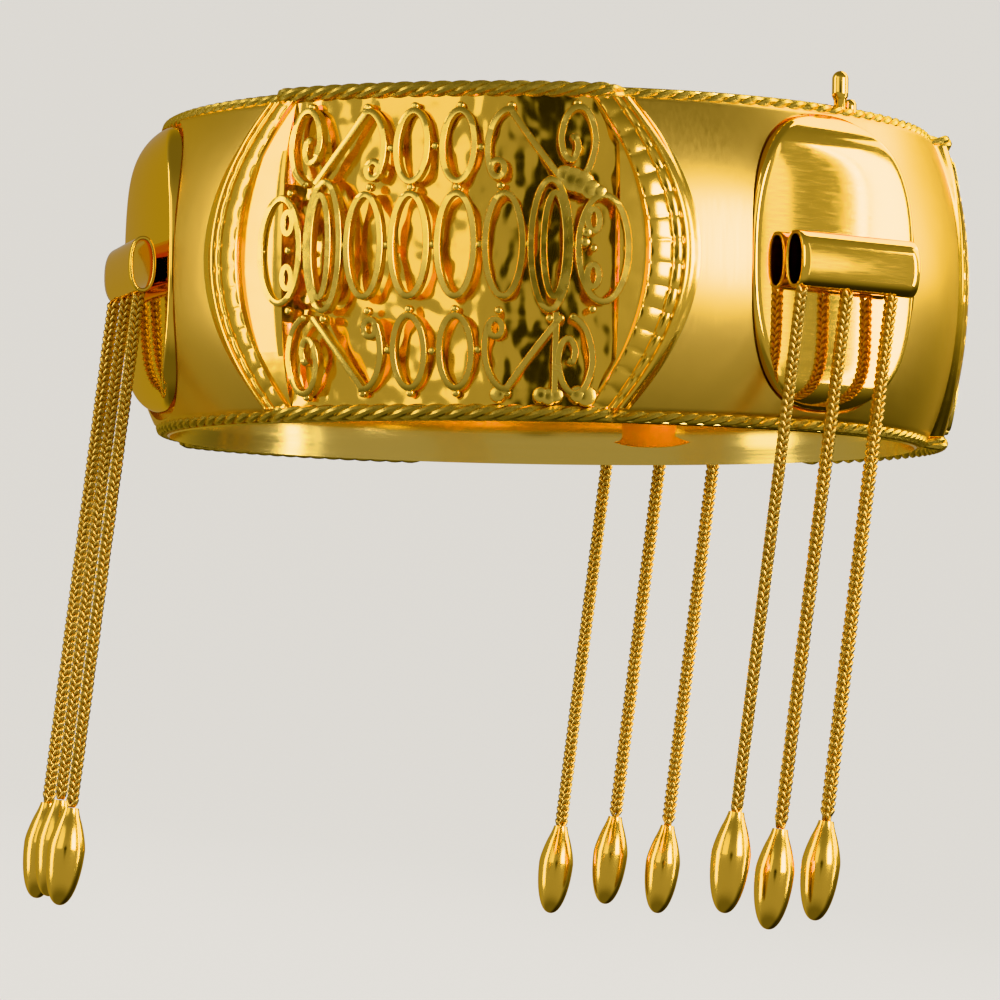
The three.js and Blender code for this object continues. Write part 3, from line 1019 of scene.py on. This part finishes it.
class BANGLE_OT_stage(bpy.types.Operator):
    """Sets the pale floor and backdrop, the soft lights, the room's glow and the camera"""

    bl_idname = "bangle.stage"
    bl_label = "Stage, light and camera"

    def execute(self, context):
        stage = sizes("stage")
        self.backdrop(stage)
        self.lights()
        self.room(context.scene)
        self.camera(context.scene, stage)
        context.scene.view_settings.view_transform = "Khronos PBR Neutral"
        return {"FINISHED"}

    @staticmethod
    def backdrop(stage):
        """A round sweep of paper in metres: flat floor, rising to a wall behind any camera."""
        floor, flat_to, bend = -stage.floor_drop, 0.62, 0.38
        profile = [(0.001, floor), (0.3, floor), (flat_to, floor)]
        profile += [
            (flat_to + bend * sin(radians(a)), floor + bend * (1 - cos(radians(a))))
            for a in range(6, 91, 6)
        ]
        profile += [(flat_to + bend, floor + bend + 0.4), (flat_to + bend, 1.6)]
        mesh = Stock().lathe(profile, 96, lid=False).mesh("backdrop", unit=1.0)
        mesh.shade_smooth()
        # Matt background paper: no sheen, even tone, the faintest fibre mottle. It mostly glows,
        # and answers to the lights with a small share of its colour, so that it is nearly even.
        lit_share = 0.04
        material, tree, shader, place = start_material("background_paper_matt", {
            "Base Color": (*(lit_share * c for c in stage.paper), 1),
            "Emission Color": (*stage.paper, 1), "Emission Strength": 0.86,
            "Roughness": 0.9, "Specular IOR Level": 0.2,
        })
        vary_gloss(tree, shader, grain(tree, place, (1, 1, 1), 0.8), 0.85, 0.95)
        mesh.materials.append(material)
        backdrop = placed("backdrop", mesh)
        # gold would mirror the paper: the bangle is lit as if the room round it were dark
        backdrop.visible_glossy = False

    @staticmethod
    def area(name, direction, wide, tall, power):
        lamp = bpy.data.lights.new(name, "AREA")
        lamp.shape, lamp.size, lamp.size_y, lamp.energy = "RECTANGLE", wide, tall, power
        holder = placed(name, lamp)
        holder.location = direction * LIGHT_REACH
        holder.rotation_mode = "QUATERNION"
        holder.rotation_quaternion = direction.to_track_quat("Z", "Y")
        holder.visible_camera = False
        return holder

    def lights(self):
        for name, azimuth, elevation, wide, tall, bright in SOFTBOXES:
            width, height = (2 * LIGHT_REACH * sin(radians(v / 2)) for v in (wide, tall))
            power = bright * pi * width * height
            self.area(name, towards(azimuth, elevation), width, height, power)
        # lights the paper only
        wash = self.area("paper_wash", towards(0, 89), 1.2, 1.2, 2.0)
        wash.location = (0, 0, 1.3)
        wash.visible_glossy = False

    @staticmethod
    def dark_patch(tree, ray, middle, inner, outer, depth):
        """Dims a round patch of the room: fully within one angle in degrees, fading by another."""
        settings = {"operation": "DOT_PRODUCT", 1: middle}
        side = add(tree, "ShaderNodeVectorMath", settings, _0=ray).outputs["Value"]
        return ramp(tree, side, cos(radians(outer)), cos(radians(inner)), 1.0, depth)

    def room(self, scene):
        """The dim room that the gold mirrors: warm grey round the horizon, with a dark patch in
        front where the camera stands, another low on the right, and dimmer above and below."""
        world = bpy.data.worlds.new("studio_room")
        scene.world = world
        world.use_nodes = True
        tree = world.node_tree
        tree.nodes.clear()
        ray = add(tree, "ShaderNodeTexCoord").outputs["Generated"]
        axes = add(tree, "ShaderNodeSeparateXYZ", _0=ray).outputs
        low = ramp(tree, axes[2], -0.75, -0.4, 0.4, 1.0)
        high = ramp(tree, axes[2], 0.25, 0.95, 1.0, 0.45)
        front = self.dark_patch(tree, ray, towards(1, 4), 6, 11, 0.04)
        below_right = self.dark_patch(tree, ray, towards(128, -36), 20, 48, 0.1)
        level = low
        multiply = {"operation": "MULTIPLY"}
        for factor in (high, front, below_right):
            level = add(tree, "ShaderNodeMath", multiply, _0=level, _1=factor).outputs[0]
        level = add(tree, "ShaderNodeMath", {**multiply, 1: ROOM_GLOW}, _0=level).outputs[0]
        warm = {"Color": (1.0, 0.98, 0.94, 1)}
        glow = add(tree, "ShaderNodeBackground", warm, Strength=level)
        add(tree, "ShaderNodeOutputWorld", Surface=glow.outputs[0])

    @staticmethod
    def camera(scene, stage):
        """Long lens from a little below, the camera rolled so that plumb leans to the left."""
        eye = Vector((3.825, -394.463, -34.647)) * MM
        aim = Vector((-1.357, 1.102, -16.83)) * MM
        roll = Quaternion((0, 0, 1), radians(7.267))
        data = bpy.data.cameras.new("camera")
        data.lens, data.sensor_width = stage.lens, 36.0
        data.clip_start, data.clip_end = 0.01, 10.0
        scene.camera = placed("camera", data)
        scene.camera.rotation_mode = "QUATERNION"
        scene.camera.location = eye
        scene.camera.rotation_quaternion = (aim - eye).to_track_quat("-Z", "Y") @ roll


# ---- panel and registration ----
STEPS = (
    BANGLE_OT_band, BANGLE_OT_rope, BANGLE_OT_windows, BANGLE_OT_openwork, BANGLE_OT_plates,
    BANGLE_OT_bars, BANGLE_OT_pin, BANGLE_OT_chains, BANGLE_OT_beads, BANGLE_OT_stage,
)
GROUPS = {
    "bangle_band": BangleBand, "bangle_window": BangleWindow, "bangle_plate": BanglePlate,
    "bangle_tassel": BangleTassel, "bangle_finish": BangleFinish, "bangle_stage": BangleStage,
}


class BANGLE_PT_panel(bpy.types.Panel):
    """Lists the bangle's sizes and steps"""

    bl_idname = "BANGLE_PT_panel"
    bl_label = "Bangle"
    bl_space_type = "VIEW_3D"
    bl_region_type = "UI"
    bl_category = "Bangle"

    def draw(self, context):
        for name, group in GROUPS.items():
            box = self.layout.box()
            box.label(text=group.__doc__)
            for key in group.__annotations__:
                box.prop(getattr(context.scene, name), key)
        for step in STEPS:
            self.layout.operator(step.bl_idname)


CLASSES = (*GROUPS.values(), *STEPS, BANGLE_PT_panel)


def register():
    for entry in CLASSES:
        bpy.utils.register_class(entry)
    for name, group in GROUPS.items():
        setattr(bpy.types.Scene, name, PointerProperty(type=group))


def unregister():
    for name in GROUPS:
        delattr(bpy.types.Scene, name)
    for entry in reversed(CLASSES):
        bpy.utils.unregister_class(entry)


def main():
    register()
    for step in STEPS:
        group, verb = step.bl_idname.split(".")
        getattr(getattr(bpy.ops, group), verb)()


if __name__ == "__main__":
    main()
